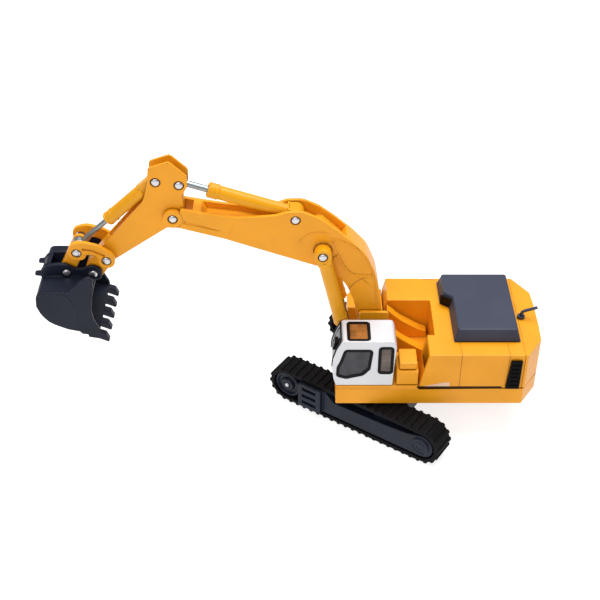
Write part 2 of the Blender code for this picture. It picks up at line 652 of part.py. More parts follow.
def cylinder_rod(name, eye_at, towards, y, sizes, body):
    """A polished rod from its eye into the barrel. sizes: rod radius, length, eye radius, half width."""
    radius, length, eye, half = sizes
    way = aim((eye_at[0], y, eye_at[1]), (towards[0], y, towards[1]))
    root = Vector((eye_at[0], y, eye_at[1]))
    ring = extruded(name, circle(eye_at, eye, 24), y - half, y + half, [circle(eye_at, PIN_HOLE_R)])
    bar = rod(name + "_bar", root + way * (PIN_HOLE_R + 0.35), root + way * length, radius, 16)
    place(join(ring, bar), body, "rod_steel")


# ---- arm ----
def arm(body):
    """The dipper arm: a flat casting, forked at its head and open along its front edge."""
    side = [(-82.9, 113.5, 1.8), (-76.6, 107.4, 2.2), (-76.8, 103.0), (-79.0, 99.0, 2), (-78.6, 93.8, 3),
            (-79.0, 85.8, 3.4), (-85.4, 85.2), (-106.0, 70.8), (-112.6, 61.6, 2.9), (-118.4, 66.4, 2.9),
            (-109.4, 77.8), (-93.4, 96.7, 4), (-91.2, 104.4, 12), (-90.5, 110.8, 1.6)]
    plate = extruded("arm", rounded(side), -ARM_HALF, ARM_HALF)
    slot = ARM_HALF - 0.95
    opening = [(-106.4, 78.2), (-90.6, 97.2), (-70.0, 97.2), (-70.0, 118.0), (-100.0, 118.0),
               (-100.0, 98.0),
               (-112.0, 82.0)]
    bores = [across("arm_bore_%d" % k, point, 9, PIN_HOLE_R)
             for k, point in enumerate((ARM_PIVOT, ARM_ROD_PIN, BUCKET_CYL_BASE, ROCKER_PIN, BUCKET_PIN))]
    way = aim(pivot(BUCKET_CYL_BASE), pivot(LINK_PIN))
    way = Matrix.Rotation(math.radians(BUCKET_CYL_DROP), 3, "Y") @ way
    base = Vector(pivot(BUCKET_CYL_BASE))
    relief = rod("cylinder_relief", base + way * 6.2, base + way * 30, 2.85, 24)
    place(cut(plate, extruded("arm_opening", opening, -slot, slot), relief, *bores), body, "yellow_paint")
    place(across("arm_rod_pin", ARM_ROD_PIN, ARM_HALF + 0.35), body, "pin_steel")
    place(across("bucket_cylinder_base_pin", BUCKET_CYL_BASE, ARM_HALF + 0.35), body, "pin_steel")
    place(across("rocker_pivot_pin", ROCKER_PIN, 6.95), body, "pin_steel")


# ---- bucket linkage ----
def rocker(body):
    """Two curved rocker plates, joined by the link pin."""
    side = [(-122.4, 73.0, 3), (-116.5, 73.0, 2.4), (-115.6, 75.8, 1.2), (-111.7, 74.6, 1.2),
            (-111.6, 69.4, 3),
            (-105.4, 69.4, 3), (-105.2, 75.4, 3.4), (-110.8, 79.4, 6), (-116.8, 81.2, 5),
            (-122.4, 79.6, 3.2)]
    outline = rounded(side)
    for name, low in (("rocker_link_left", -6.6), ("rocker_link_right", 5.0)):
        holes = [circle(ROCKER_PIN, PIN_HOLE_R), circle(LINK_PIN, PIN_HOLE_R)]
        place(extruded(name, outline, low, low + 1.6, holes), body, "yellow_paint")
    place(across("rocker_link_pin", LINK_PIN, 6.95), body, "pin_steel")


def tipping_link(body):
    """The short link from the rocker to the bucket; its lower eye is a slot along the link."""
    way = aim((*LINK_PIN, 0), (*BUCKET_LINK_PIN, 0))
    far = [(BUCKET_LINK_PIN[0] + way.x * k, BUCKET_LINK_PIN[1] + way.y * k) for k in (-0.8, 0.8)]
    outline = slot_outline(LINK_PIN, far[1], 2.7)
    hole = slot_outline(far[1], far[0], PIN_HOLE_R)
    link = extruded("tipping_link", outline, -3.0, 3.0, [circle(LINK_PIN, PIN_HOLE_R), hole])
    clear = extruded("tipping_fork", circle(LINK_PIN, 4.6, 24), -1.6, 1.6)
    place(cut(link, clear), body, "yellow_paint")


# ---- bucket ----
def bucket(body):
    """The bucket: a tub open to the rear with raised cheeks, two arched ribs that carry its pins,
    and a toothed lip."""
    wall = 1.3
    tub_side = [(-113.4, 64.3), (-134.2, 64.3, 2.4), (-136.0, 57.8, 9), (-131.6, 50.3, 9),
                (-124.6, 46.9, 10),
                (-120.2, 45.9), (-119.3, 44.7), (-113.2, 43.9), (-112.5, 46.2), (-112.7, 47.6),
                (-114.2, 50.9, 5),
                (-114.8, 55.6, 12), (-114.0, 61.0)]
    cavity = [(-105.0, 63.0), (-133.1, 63.0, 1.6), (-134.6, 57.9, 7.7), (-130.7, 51.3, 7.7),
              (-124.2, 48.2, 8.7),
              (-119.5, 46.9), (-105.0, 44.2)]
    cheek_side = [(-124.4, 63.8), (-114.1, 63.6), (-113.0, 66.4), (-112.6, 70.4, 0.6), (-114.6, 71.6, 1.0),
                  (-118.3, 68.9), (-121.6, 65.6)]
    inner = BUCKET_HALF - wall
    tub = extruded("bucket", rounded(tub_side), -BUCKET_HALF, BUCKET_HALF)
    hollow = extruded("bucket_hollow", rounded(cavity), -inner, inner)
    cheeks = [extruded("cheek_low", rounded(cheek_side), -BUCKET_HALF, -inner),
              extruded("cheek_high", rounded(cheek_side), inner, BUCKET_HALF)]
    rib_side = [(-134.0, 62.4), (-134.4, 64.3), (-136.6, 64.6, 0.5), (-136.4, 66.1, 0.6), (-134.4, 66.4),
                (-132.3, 69.2, 3.4), (-127.0, 69.9, 6), (-124.2, 69.7, 4), (-121.0, 67.6, 3),
                (-118.0, 67.6, 3), (-114.6, 69.3, 3.6), (-111.0, 67.4, 2.7), (-111.3, 62.4, 2.4)]
    ribs = [extruded("rib_low", rounded(rib_side), -4.8, -3.3),
            extruded("rib_high", rounded(rib_side), 3.3, 4.8)]
    web_side = [(-134.1, 62.4), (-134.3, 66.1, 3.2), (-132.3, 69.1, 3), (-130.4, 69.3), (-130.6, 67.7),
                (-132.6, 66.2, 2), (-132.6, 62.4)]
    web = extruded("rib_web", rounded(web_side), -3.5, 3.5)
    teeth = []
    for k in range(5):
        y = (k - 2) * 7.1
        tooth = [(-117.2, 44.4), (-117.0, 43.2), (-113.0, 42.4, 3), (-109.8, 40.9, 0.5),
                 (-109.1, 41.6, 0.5),
                 (-110.3, 44.6, 1), (-113.4, 45.7)]
        teeth.append(extruded("tooth_%d" % k, rounded(tooth), y - 1.3, y + 1.3))
    bay = box("link_bay", (-128.6, -3.25, 60.0), (-108.0, 3.25, 72.0))
    bores = [across("bucket_bore_%d" % k, point, 6, PIN_HOLE_R)
             for k, point in enumerate((BUCKET_LINK_PIN, BUCKET_PIN))]
    place(cut(join(cut(tub, hollow), *cheeks, *ribs, web, *teeth), bay, *bores), body, "navy_plastic")
    place(across("bucket_link_pin", BUCKET_LINK_PIN, 5.1), body, "pin_steel")
    place(across("bucket_pivot_pin", BUCKET_PIN, 5.1), body, "pin_steel")


# ---- the whole toy ----
wipe()
MODEL = new_collection("toy_excavator")
TOOLS = new_collection("cutters")
MATERIALS = {
    "yellow_paint": material("yellow_paint", (0.86, 0.36, 0.035), 0.35),
    "cab_white": material("cab_white", (0.85, 0.86, 0.88), 0.3),
    "navy_plastic": material("navy_plastic", (0.028, 0.034, 0.055), 0.5),
    "hood_grey": material("hood_grey", (0.075, 0.085, 0.115), 0.55),
    "black_plastic": material("black_plastic", (0.012, 0.012, 0.013), 0.5),
    "track_rubber": material("track_rubber", (0.011, 0.011, 0.012), 0.75),
    "pin_steel": material("pin_steel", (0.72, 0.71, 0.74), 0.3, 1.0),
    "rod_steel": material("rod_steel", (0.62, 0.66, 0.64), 0.25, 1.0),
    "clear_plastic": material("clear_plastic", (0.45, 0.42, 0.4), 0.1, 0.0, 0.35),
}


def build():
    upper_at = (-BOX_CENTRE[0], -BOX_CENTRE[1], 0)
    under = Body("undercarriage", (0, 0, 0), turned=-SWING_AT_REST)
    under.empty.location = Vector(upper_at) * MM
    upper = Body("upper", (0, 0, 0), under)
    car_body(under)
    for side, sign in (("left", -1), ("right", 1)):
        idler = Body("idler_" + side, (IDLER_X, sign * 22, WHEEL_Z))
        sprocket = Body("sprocket_" + side, (SPROCKET_X, sign * 22, WHEEL_Z))
        for wheel in (idler, sprocket):
            wheel.empty.parent = under.empty
        track_belt(side, sign, under)
        track_frame(side, sign, under)
        track_wheels(side, sign, under, idler, sprocket)

    for piece in (deck, engine_housing, counterweight, engine_hood, exhaust, vents, side_steps,
                  boom_mount, cab):
        piece(upper)

    boom_body = Body("boom", pivot(BOOM_FOOT), upper)
    arm_body = Body("arm", pivot(ARM_PIVOT), boom_body)
    bucket_body = Body("bucket", pivot(BUCKET_PIN), arm_body)
    rocker_body = Body("rocker", pivot(ROCKER_PIN), arm_body)
    link_body = Body("tipping_link", pivot(LINK_PIN), rocker_body)
    boom(boom_body)
    arm(arm_body)
    rocker(rocker_body)
    tipping_link(link_body)
    bucket(bucket_body)

    big = (2.65, 33.0, 2.75, 1.8, 6.5, 3.3, 2.0, 2.8)
    for side, sign in (("left", -1), ("right", 1)):
        y = sign * BOOM_CYL_Y
        barrel = Body("boom_barrel_" + side, pivot(TRUNNION, y), boom_body)
        piston = Body("boom_rod_" + side, pivot(BOOM_CYL_FOOT, y), upper)
        cylinder_barrel("boom_cylinder_barrel_" + side, TRUNNION, BOOM_CYL_FOOT, y, big, barrel)
        cylinder_rod("boom_cylinder_rod_" + side, BOOM_CYL_FOOT, TRUNNION, y, (1.3, 36.0, 2.5, 1.5), piston)
    arm_barrel = Body("arm_barrel", pivot(ARM_CYL_BASE), boom_body)
    arm_piston = Body("arm_rod", pivot(ARM_ROD_PIN), arm_body)
    cylinder_barrel("arm_cylinder_barrel", ARM_CYL_BASE, ARM_ROD_PIN, 0,
                    (2.6, 33.7, 2.85, 2.05, 8.0, 3.2, 3.0, 2.6), arm_barrel)
    cylinder_rod("arm_cylinder_rod", ARM_ROD_PIN, ARM_CYL_BASE, 0, (1.25, 28.5, 2.7, 1.5), arm_piston)
    bucket_barrel = Body("bucket_barrel", pivot(BUCKET_CYL_BASE), arm_body)
    bucket_piston = Body("bucket_rod", pivot(LINK_PIN), rocker_body)
    cylinder_barrel("bucket_cylinder_barrel", BUCKET_CYL_BASE, LINK_PIN, 0,
                    (2.5, 26.3, 2.6, 1.65, 9.0, 3.0, 1.6, 6.8), bucket_barrel)
    cylinder_rod("bucket_cylinder_rod", LINK_PIN, BUCKET_CYL_BASE, 0, (1.0, 27.0, 2.4, 1.3), bucket_piston)


build()
bpy.context.view_layer.update()
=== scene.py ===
"""The looks of the die-cast toy excavator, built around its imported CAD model.

Shapes are worked in millimetres in one of two sets of axes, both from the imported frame: MACHINE, the
turned upper structure, with the swing axis as origin and -X to the front, and TRACKS, the undercarriage.
Each piece starts from the CAD node it stands for, gets cast or moulded edges and its fine detail, and
rides on that node's body.
"""

import json
import math
from contextlib import contextmanager

import bmesh
import bpy
from mathutils import Matrix, Vector

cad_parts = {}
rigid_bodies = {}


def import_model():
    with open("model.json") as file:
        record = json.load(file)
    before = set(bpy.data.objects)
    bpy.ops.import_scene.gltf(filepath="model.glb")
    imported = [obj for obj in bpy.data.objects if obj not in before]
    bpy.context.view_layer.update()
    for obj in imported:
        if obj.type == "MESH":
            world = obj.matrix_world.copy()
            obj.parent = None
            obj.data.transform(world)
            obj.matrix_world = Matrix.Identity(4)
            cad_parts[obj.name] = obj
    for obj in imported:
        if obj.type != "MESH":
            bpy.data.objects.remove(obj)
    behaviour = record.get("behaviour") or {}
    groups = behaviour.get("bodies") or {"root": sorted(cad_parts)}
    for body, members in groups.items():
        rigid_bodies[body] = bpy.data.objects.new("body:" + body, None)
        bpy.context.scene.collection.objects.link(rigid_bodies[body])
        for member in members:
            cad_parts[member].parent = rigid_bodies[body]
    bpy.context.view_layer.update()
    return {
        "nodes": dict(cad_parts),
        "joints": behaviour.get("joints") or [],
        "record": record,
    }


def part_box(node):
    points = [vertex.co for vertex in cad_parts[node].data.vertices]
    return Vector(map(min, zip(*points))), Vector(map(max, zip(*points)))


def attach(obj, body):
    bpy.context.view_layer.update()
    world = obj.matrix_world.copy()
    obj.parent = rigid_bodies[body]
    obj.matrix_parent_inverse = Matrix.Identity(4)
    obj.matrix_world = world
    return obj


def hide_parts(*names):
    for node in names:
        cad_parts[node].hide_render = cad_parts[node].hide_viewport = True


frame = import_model()

MM = 0.001
JOINTS = {joint["name"]: Vector(joint["pos_m"]) for joint in frame["joints"]}
BODY_OF = {node: body for body, nodes in frame["record"]["behaviour"]["bodies"].items() for node in nodes}

# ---- axes and pivots, from the frame ----
track_line = (JOINTS["sprocket_left_spin"] - JOINTS["idler_left_spin"]).normalized()
MACHINE = Matrix.Translation((*JOINTS["swing"].xy, 0)) @ Matrix.Scale(MM, 4)
TRACKS = MACHINE @ Matrix.Rotation(math.atan2(track_line.y, track_line.x), 4, "Z")


def in_mm(point, axes=MACHINE):
    """A world point in one of the two sets of axes, in millimetres."""
    return axes.inverted() @ Vector(point)


def box_mm(node):
    """A node's lowest and highest corners in MACHINE millimetres."""
    return [in_mm(corner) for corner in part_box(node)]


def pivot_of(joint):
    """A cross-wise joint's axis, as (x, z) in MACHINE millimetres."""
    at = in_mm(JOINTS[joint])
    return (at.x, at.z)


TRUNNION = pivot_of("boom_barrel_left_tilt")
BOOM_CYL_FOOT = pivot_of("boom_rod_left_tilt")
ARM_CYL_BASE = pivot_of("arm_barrel_tilt")
ARM_ROD_PIN = pivot_of("arm_rod_tilt")
BUCKET_CYL_BASE = pivot_of("bucket_barrel_tilt")
LINK_PIN = pivot_of("tipping_link_tilt")

# ---- shared sizes, in millimetres ----
BOOM_HALF = 4.95  # the boom's side faces, out from its middle
HOUSING_LOW, HOUSING_HIGH = box_mm("engine_housing")
HOUSING_SEAMS = (25.2, 43.3)  # where the housing's panels meet, along x
LINK_BAY_HALF = 3.3  # inner faces of the bucket's ribs, and of the bay under them
SIDES = (("left", -1), ("right", 1))

# ---- how meshes are cleaned ----
CAD_MERGE = 0.004  # corners of a CAD mesh that are closer than this are one
NEW_MERGE = 0.001  # the same for a mesh made here
FLAT = math.radians(0.5)  # faces within this angle lie in one plane

# Holds shapes while they are worked on; what isn't made into a piece is removed at the end.
WORKSHOP = bpy.data.collections.new("workshop")
bpy.context.scene.collection.children.link(WORKSHOP)


# ---- outlines: lists of (x, z) points, or (x, y) for flat-lying shapes ----
def rounded(points):
    """Replace each (x, z, r) corner by an arc of radius r; plain corners stay sharp."""
    step = 0.2
    out = []
    count = len(points)
    for i, corner in enumerate(points):
        here = Vector(corner[:2])
        if len(corner) < 3:
            out.append(tuple(here))
            continue
        back = (Vector(points[i - 1][:2]) - here).normalized()
        ahead = (Vector(points[(i + 1) % count][:2]) - here).normalized()
        half = back.angle(ahead) / 2
        middle = here + (back + ahead).normalized() * (corner[2] / math.sin(half))
        first = here + back * (corner[2] / math.tan(half)) - middle
        last = here + ahead * (corner[2] / math.tan(half)) - middle
        sweep = first.angle_signed(last)
        steps = max(2, round(abs(sweep) / step))
        out += [tuple(middle + Matrix.Rotation(-sweep * k / steps, 2) @ first) for k in range(steps + 1)]
    return out


def anticlockwise(points):
    """The outline, turned round if it runs clockwise."""
    area = sum(a[0] * b[1] - b[0] * a[1] for a, b in zip(points, [*points[1:], points[0]]))
    return points if area > 0 else points[::-1]


def inset(points, amount):
    """Move an anticlockwise outline inwards by amount, or outwards where it is negative."""
    out = []
    for i, point in enumerate(points):
        before, here, after = Vector(points[i - 1]), Vector(point), Vector(points[(i + 1) % len(points)])
        a, b = (here - before).normalized(), (after - here).normalized()
        normals = Vector((-a.y - b.y, a.x + b.x))
        out.append(tuple(here + normals * amount / (1 + a.dot(b))))
    return out


def smooth_path(points):
    """A Catmull-Rom line through the points."""
    steps = 6
    ends = [Vector(points[0]) * 2 - Vector(points[1]), *map(Vector, points),
            Vector(points[-1]) * 2 - Vector(points[-2])]
    out = []
    for a, b, c, d in zip(ends, ends[1:], ends[2:], ends[3:]):
        for k in range(steps):
            t = k / steps
            out.append((b * 2 + (c - a) * t + (a * 2 - b * 5 + c * 4 - d) * t * t
                        + (b * 3 - a - c * 3 + d) * t ** 3) / 2)
    return [*out, Vector(points[-1])]


def band(points, width):
    """A closed outline of that width along an open line."""
    left, right = [], []
    for i, point in enumerate(points):
        ahead = Vector(points[min(i + 1, len(points) - 1)]) - Vector(points[max(i - 1, 0)])
        normal = Vector((-ahead.y, ahead.x)).normalized() * width / 2
        left.append(tuple(Vector(point) + normal))
        right.append(tuple(Vector(point) - normal))
    return anticlockwise(left + right[::-1])


# ---- solids in millimetres ----
def solid(name, bm):
    """Turn a bmesh into a workshop object, and free it."""
    bmesh.ops.recalc_face_normals(bm, faces=bm.faces)
    mesh = bpy.data.meshes.new(name)
    bm.to_mesh(mesh)
    bm.free()
    thing = bpy.data.objects.new(name, mesh)
    WORKSHOP.objects.link(thing)
    return thing


def from_cad(node, axes=MACHINE):
    """A copy of a CAD node's shape, with its flat faces made whole again."""
    bm = bmesh.new()
    bm.from_mesh(frame["nodes"][node].data)
    bmesh.ops.transform(bm, matrix=axes.inverted(), verts=bm.verts)
    bmesh.ops.remove_doubles(bm, verts=bm.verts, dist=CAD_MERGE)
    bmesh.ops.dissolve_limit(bm, angle_limit=FLAT, verts=bm.verts, edges=bm.edges)
    return solid(node + "_shape", bm)


@contextmanager
def editing(thing):
    """Lend out a solid's mesh as a bmesh, and put it back."""
    bm = bmesh.new()
    bm.from_mesh(thing.data)
    yield bm
    bm.to_mesh(thing.data)
    bm.free()


def merge(thing):
    """Merge vertices that have been moved together, and drop the slivers between them."""
    with editing(thing) as bm:
        bmesh.ops.remove_doubles(bm, verts=bm.verts, dist=CAD_MERGE)
        bmesh.ops.dissolve_degenerate(bm, edges=bm.edges, dist=CAD_MERGE)


def even_triangles(thing):
    """Split the flat faces into well-shaped triangles, which take a bevel cleanly."""
    with editing(thing) as bm:
        bmesh.ops.triangulate(bm, faces=bm.faces, ngon_method="BEAUTY")


def box(low, high):
    """A plain block between two corners."""
    low, high = Vector(low), Vector(high)
    bm = bmesh.new()
    bmesh.ops.create_cube(bm, size=1.0)
    bmesh.ops.scale(bm, vec=high - low, verts=bm.verts)
    bmesh.ops.translate(bm, vec=(low + high) / 2, verts=bm.verts)
    return solid("box", bm)


def follow(curve, lines, closed):
    """The mesh that a curve makes along lines of points, as a bmesh."""
    for line in lines:
        spline = curve.splines.new("POLY")
        spline.points.add(len(line) - 1)
        spline.use_cyclic_u = closed
        for point, at in zip(spline.points, line):
            point.co = (*Vector(at).to_3d(), 1)
    thing = bpy.data.objects.new(curve.name, curve)
    WORKSHOP.objects.link(thing)
    mesh = bpy.data.meshes.new_from_object(thing.evaluated_get(bpy.context.evaluated_depsgraph_get()))
    bpy.data.objects.remove(thing, do_unlink=True)
    bm = bmesh.new()
    bm.from_mesh(mesh)
    bpy.data.meshes.remove(mesh)
    bmesh.ops.remove_doubles(bm, verts=bm.verts, dist=NEW_MERGE)
    return bm


def extruded(outline, low, high, holes=(), upright=True):
    """A flat outline with holes: in x and z with thickness along y, or in x and y with thickness up z."""
    curve = bpy.data.curves.new("outline", "CURVE")
    curve.dimensions = "2D"
    curve.fill_mode = "BOTH"
    curve.extrude = (high - low) / 2
    bm = follow(curve, (outline, *holes), True)
    bmesh.ops.dissolve_limit(bm, angle_limit=FLAT, verts=bm.verts, edges=bm.edges)
    move = Matrix.Translation((0, 0, (low + high) / 2))
    if upright:
        move = Matrix.Translation((0, (low + high) / 2, 0)) @ Matrix.Rotation(math.pi / 2, 4, "X")
    bmesh.ops.transform(bm, matrix=move, verts=bm.verts)
    return solid("plate", bm)


def bead(points, radius):
    """A round raised line through points in space."""
    curve = bpy.data.curves.new("bead", "CURVE")
    curve.dimensions = "3D"
    curve.bevel_depth = radius
    curve.bevel_resolution = 3
    curve.use_fill_caps = True
    return solid("bead", follow(curve, [points], False))


def turned(profile, start, way, steps=40):
    """A profile of (radius, distance along) turned about the line from start in direction way."""
    bm = bmesh.new()
    verts = [bm.verts.new((radius, 0, along)) for radius, along in profile]
    for a, b in zip(verts, verts[1:]):
        bm.edges.new((a, b))
    if profile[0][0] > 0:
        bm.edges.new((verts[-1], verts[0]))
    bmesh.ops.spin(bm, geom=bm.verts[:] + bm.edges[:], cent=(0, 0, 0), axis=(0, 0, 1),
                   angle=math.tau, steps=steps)
    bmesh.ops.remove_doubles(bm, verts=bm.verts, dist=NEW_MERGE)
    turn = Vector((0, 0, 1)).rotation_difference(Vector(way)).to_matrix().to_4x4()
    bmesh.ops.transform(bm, matrix=Matrix.Translation(start) @ turn, verts=bm.verts)
    return solid("turned", bm)


# ---- working on a solid ----
def settle(thing):
    """Apply the modifiers."""
    shape = thing.evaluated_get(bpy.context.evaluated_depsgraph_get())
    mesh = bpy.data.meshes.new_from_object(shape)
    thing.modifiers.clear()
    thing.data = mesh
    return thing


def cut(thing, *tools):
    """Take the tools' shapes out of a solid."""
    for tool in tools:
        change = thing.modifiers.new("cut", "BOOLEAN")
        change.operation = "DIFFERENCE"
        change.solver = "EXACT"
        change.object = tool
    return settle(thing)


def soften(thing, width, segments=2, angle=30):
    """Round every edge sharper than angle, as casting and paint do."""
    even_triangles(thing)
    thing.data.shade_smooth()
    bevel = thing.modifiers.new("edges", "BEVEL")
    bevel.width = width
    bevel.segments = segments
    bevel.limit_method = "ANGLE"
    bevel.angle_limit = math.radians(angle)
    bevel.use_clamp_overlap = False
    return settle(thing)


def piece(thing, name, look, node, axes=MACHINE, sharp=40, stands_in=True):
    """Put a finished solid in the scene, riding with its node. Only a detail doesn't stand in for it."""
    thing.data.transform(axes)
    thing.data.materials.clear()
    thing.data.materials.append(look)
    thing.data.shade_smooth()
    thing.data.set_sharp_from_angle(angle=math.radians(sharp))
    thing.name = thing.data.name = name
    WORKSHOP.objects.unlink(thing)
    bpy.context.scene.collection.objects.link(thing)
    normals = thing.modifiers.new("even_normals", "WEIGHTED_NORMAL")
    normals.keep_sharp = True
    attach(thing, BODY_OF[node])
    if stands_in:
        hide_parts(node)


def add_to(node, thing, name, look, axes=MACHINE):
    """Put an added detail in the scene. It rides with a node."""
    piece(thing, name, look, node, axes, stands_in=False)


def cast(node, name, look, rounding, segments=2, angle=30, axes=MACHINE):
    """Put a CAD node's own shape in the scene, with its edges rounded."""
    piece(soften(from_cad(node, axes), rounding, segments, angle), name, look, node, axes)


# ---- materials ----
def surface(name, colour, roughness, *, metallic=0.0, specular=0.5, coat=0.0, mottle=0.06, mottle_scale=70,
            grain=2600, bump=0.02, wear_and_highlight=None, wear_and_highlight_amount=0.5, spread=0.08, painted_crevice_shade=None):
    """A painted, moulded or plated finish: slow colour mottling, fine grain in bump and roughness, edges
    lightened towards a lighter colour (partly wear, partly painted highlight), and crevices darkened as
    painted shade."""
    made = bpy.data.materials.new(name)
    made.use_nodes = True
    nodes, links = made.node_tree.nodes, made.node_tree.links
    shader = nodes["Principled BSDF"]
    shader.inputs["Metallic"].default_value = metallic
    shader.inputs["Specular IOR Level"].default_value = specular
    shader.inputs["Coat Weight"].default_value = coat
    shader.inputs["Coat Roughness"].default_value = 0.12
    coords = nodes.new("ShaderNodeTexCoord")

    def noise(scale, detail):
        made_noise = nodes.new("ShaderNodeTexNoise")
        made_noise.inputs["Scale"].default_value = scale
        made_noise.inputs["Detail"].default_value = detail
        links.new(coords.outputs["Object"], made_noise.inputs["Vector"])
        return made_noise.outputs["Fac"]

    def ramp(value, low, high, start, end):
        made_range = nodes.new("ShaderNodeMapRange")
        for key, number in (("From Min", low), ("From Max", high), ("To Min", start), ("To Max", end)):
            made_range.inputs[key].default_value = number
        links.new(value, made_range.inputs["Value"])
        return made_range.outputs["Result"]

    def mix(share, one, two):
        made_mix = nodes.new("ShaderNodeMix")
        made_mix.data_type = "RGBA"
        links.new(share, made_mix.inputs["Factor"])
        for socket, value in ((made_mix.inputs["A"], one), (made_mix.inputs["B"], two)):
            if isinstance(value, tuple):
                socket.default_value = (*value, 1)
            else:
                links.new(value, socket)
        return made_mix.outputs["Result"]

    slow = noise(mottle_scale, 3)
    fine = noise(grain, 2)
    darker = tuple(c * (1 - mottle) for c in colour)
    lighter = tuple(min(1, c * (1 + mottle)) for c in colour)
    tone = mix(ramp(slow, 0.35, 0.65, 0, 1), darker, lighter)
    # Edges lightened towards the lighter colour: partly real wear, partly a painted highlight where edges
    # catch the light.
    if wear_and_highlight is not None:
        rounded_normal = nodes.new("ShaderNodeBevel")
        rounded_normal.inputs["Radius"].default_value = 0.0003
        geometry = nodes.new("ShaderNodeNewGeometry")
        dot = nodes.new("ShaderNodeVectorMath")
        dot.operation = "DOT_PRODUCT"
        links.new(rounded_normal.outputs["Normal"], dot.inputs[0])
        links.new(geometry.outputs["Normal"], dot.inputs[1])
        worn_and_lit = nodes.new("ShaderNodeMath")
        worn_and_lit.operation = "MULTIPLY"
        links.new(ramp(dot.outputs["Value"], 0.995, 0.9, 0, 1), worn_and_lit.inputs[0])
        links.new(ramp(noise(900, 4), 0.42, 0.62, 0, wear_and_highlight_amount), worn_and_lit.inputs[1])
        tone = mix(worn_and_lit.outputs["Value"], tone, wear_and_highlight)
    # Painted shade: crevices and grooves darkened towards the crevice colour by ambient occlusion.
    if painted_crevice_shade is not None:
        occlusion_shade = nodes.new("ShaderNodeAmbientOcclusion")
        occlusion_shade.samples = 8
        occlusion_shade.inputs["Distance"].default_value = 0.0009
        tone = mix(ramp(occlusion_shade.outputs["AO"], 0.45, 0.9, 0.85, 0), tone, painted_crevice_shade)
    links.new(tone, shader.inputs["Base Color"])
    uneven = ramp(fine, 0.3, 0.7, roughness - spread / 2, roughness + spread / 2)
    links.new(uneven, shader.inputs["Roughness"])
    raised = nodes.new("ShaderNodeBump")
    raised.inputs["Strength"].default_value = bump
    raised.inputs["Distance"].default_value = 0.0002
    links.new(fine, raised.inputs["Height"])
    links.new(raised.outputs["Normal"], shader.inputs["Normal"])
    return made


def glazing(name, colour, alpha):
    """Tinted clear plastic, with painted reflection in slow streaks across it."""
    # The strong slow mottling is painted reflection: streaks of light across the pane.
    made = surface(name, colour, 0.08, mottle=0.45, mottle_scale=240, bump=0.01, spread=0.04)
    made.node_tree.nodes["Principled BSDF"].inputs["Alpha"].default_value = alpha
    return made


# In the finishes below, the lighter edge colour is partly wear and partly painted highlight, and the crevice
# colour is painted shade.
YELLOW = surface("yellow_enamel", (0.82, 0.33, 0.0095), 0.36, specular=0.28, mottle=0.05, bump=0.05,
                 wear_and_highlight=(1.0, 0.56, 0.16), wear_and_highlight_amount=0.55, painted_crevice_shade=(0.42, 0.155, 0.002))
YELLOW_DEEP = surface("yellow_enamel_cylinders", (0.76, 0.33, 0.006), 0.3, specular=0.28, mottle=0.06,
                      bump=0.05, wear_and_highlight=(1.0, 0.52, 0.12), wear_and_highlight_amount=0.5, painted_crevice_shade=(0.42, 0.165, 0.002))
WHITE = surface("cab_white_gloss", (0.66, 0.66, 0.685), 0.22, specular=0.5, coat=0.3, mottle=0.025, bump=0.02,
                wear_and_highlight=(0.93, 0.93, 0.95), wear_and_highlight_amount=0.6, painted_crevice_shade=(0.36, 0.36, 0.4))
NAVY = surface("navy_moulding", (0.0085, 0.0115, 0.023), 0.4, specular=0.2, mottle=0.2, bump=0.05,
               wear_and_highlight=(0.07, 0.085, 0.12), wear_and_highlight_amount=0.7, painted_crevice_shade=(0.004, 0.005, 0.01))
HOOD = surface("hood_moulding", (0.037, 0.044, 0.074), 0.5, specular=0.28, mottle=0.08, grain=3400, bump=0.12,
               wear_and_highlight=(0.13, 0.15, 0.2), wear_and_highlight_amount=0.5, painted_crevice_shade=(0.012, 0.013, 0.022))
BLACK = surface("black_trim", (0.003, 0.003, 0.0035), 0.4, specular=0.12, mottle=0.2, bump=0.05,
                wear_and_highlight=(0.05, 0.05, 0.055), wear_and_highlight_amount=0.5)
VENT_BLACK = surface("vent_black", (0.0016, 0.0016, 0.002), 0.5, specular=0.06, mottle=0.2, bump=0.04)
RUBBER = surface("track_rubber_moulded", (0.003, 0.003, 0.004), 0.62, specular=0.1, mottle=0.3, grain=1800,
                 bump=0.25, wear_and_highlight=(0.035, 0.036, 0.042), wear_and_highlight_amount=0.8)
PIN = surface("plated_pins", (0.58, 0.58, 0.61), 0.34, metallic=1.0, mottle=0.05, mottle_scale=500, bump=0.05,
              spread=0.12)
ROD = surface("drawn_rods", (0.33, 0.37, 0.375), 0.42, metallic=1.0, mottle=0.08, mottle_scale=400, bump=0.06,
              spread=0.14)
GLASS = glazing("window_tint", (0.034, 0.032, 0.042), 0.82)
# Side and roof panes: their brown and orange colours are part tint, part painted light showing through and
# off the pane.
WARM_GLASS = glazing("side_window_tint_and_painted_light", (0.13, 0.09, 0.075), 0.85)
ROOF_GLASS = glazing("roof_window_tint_and_painted_light", (0.30, 0.115, 0.03), 0.8)
PALE = surface("stripe_pale", (0.80, 0.52, 0.36), 0.35, mottle=0.06, bump=0.03)


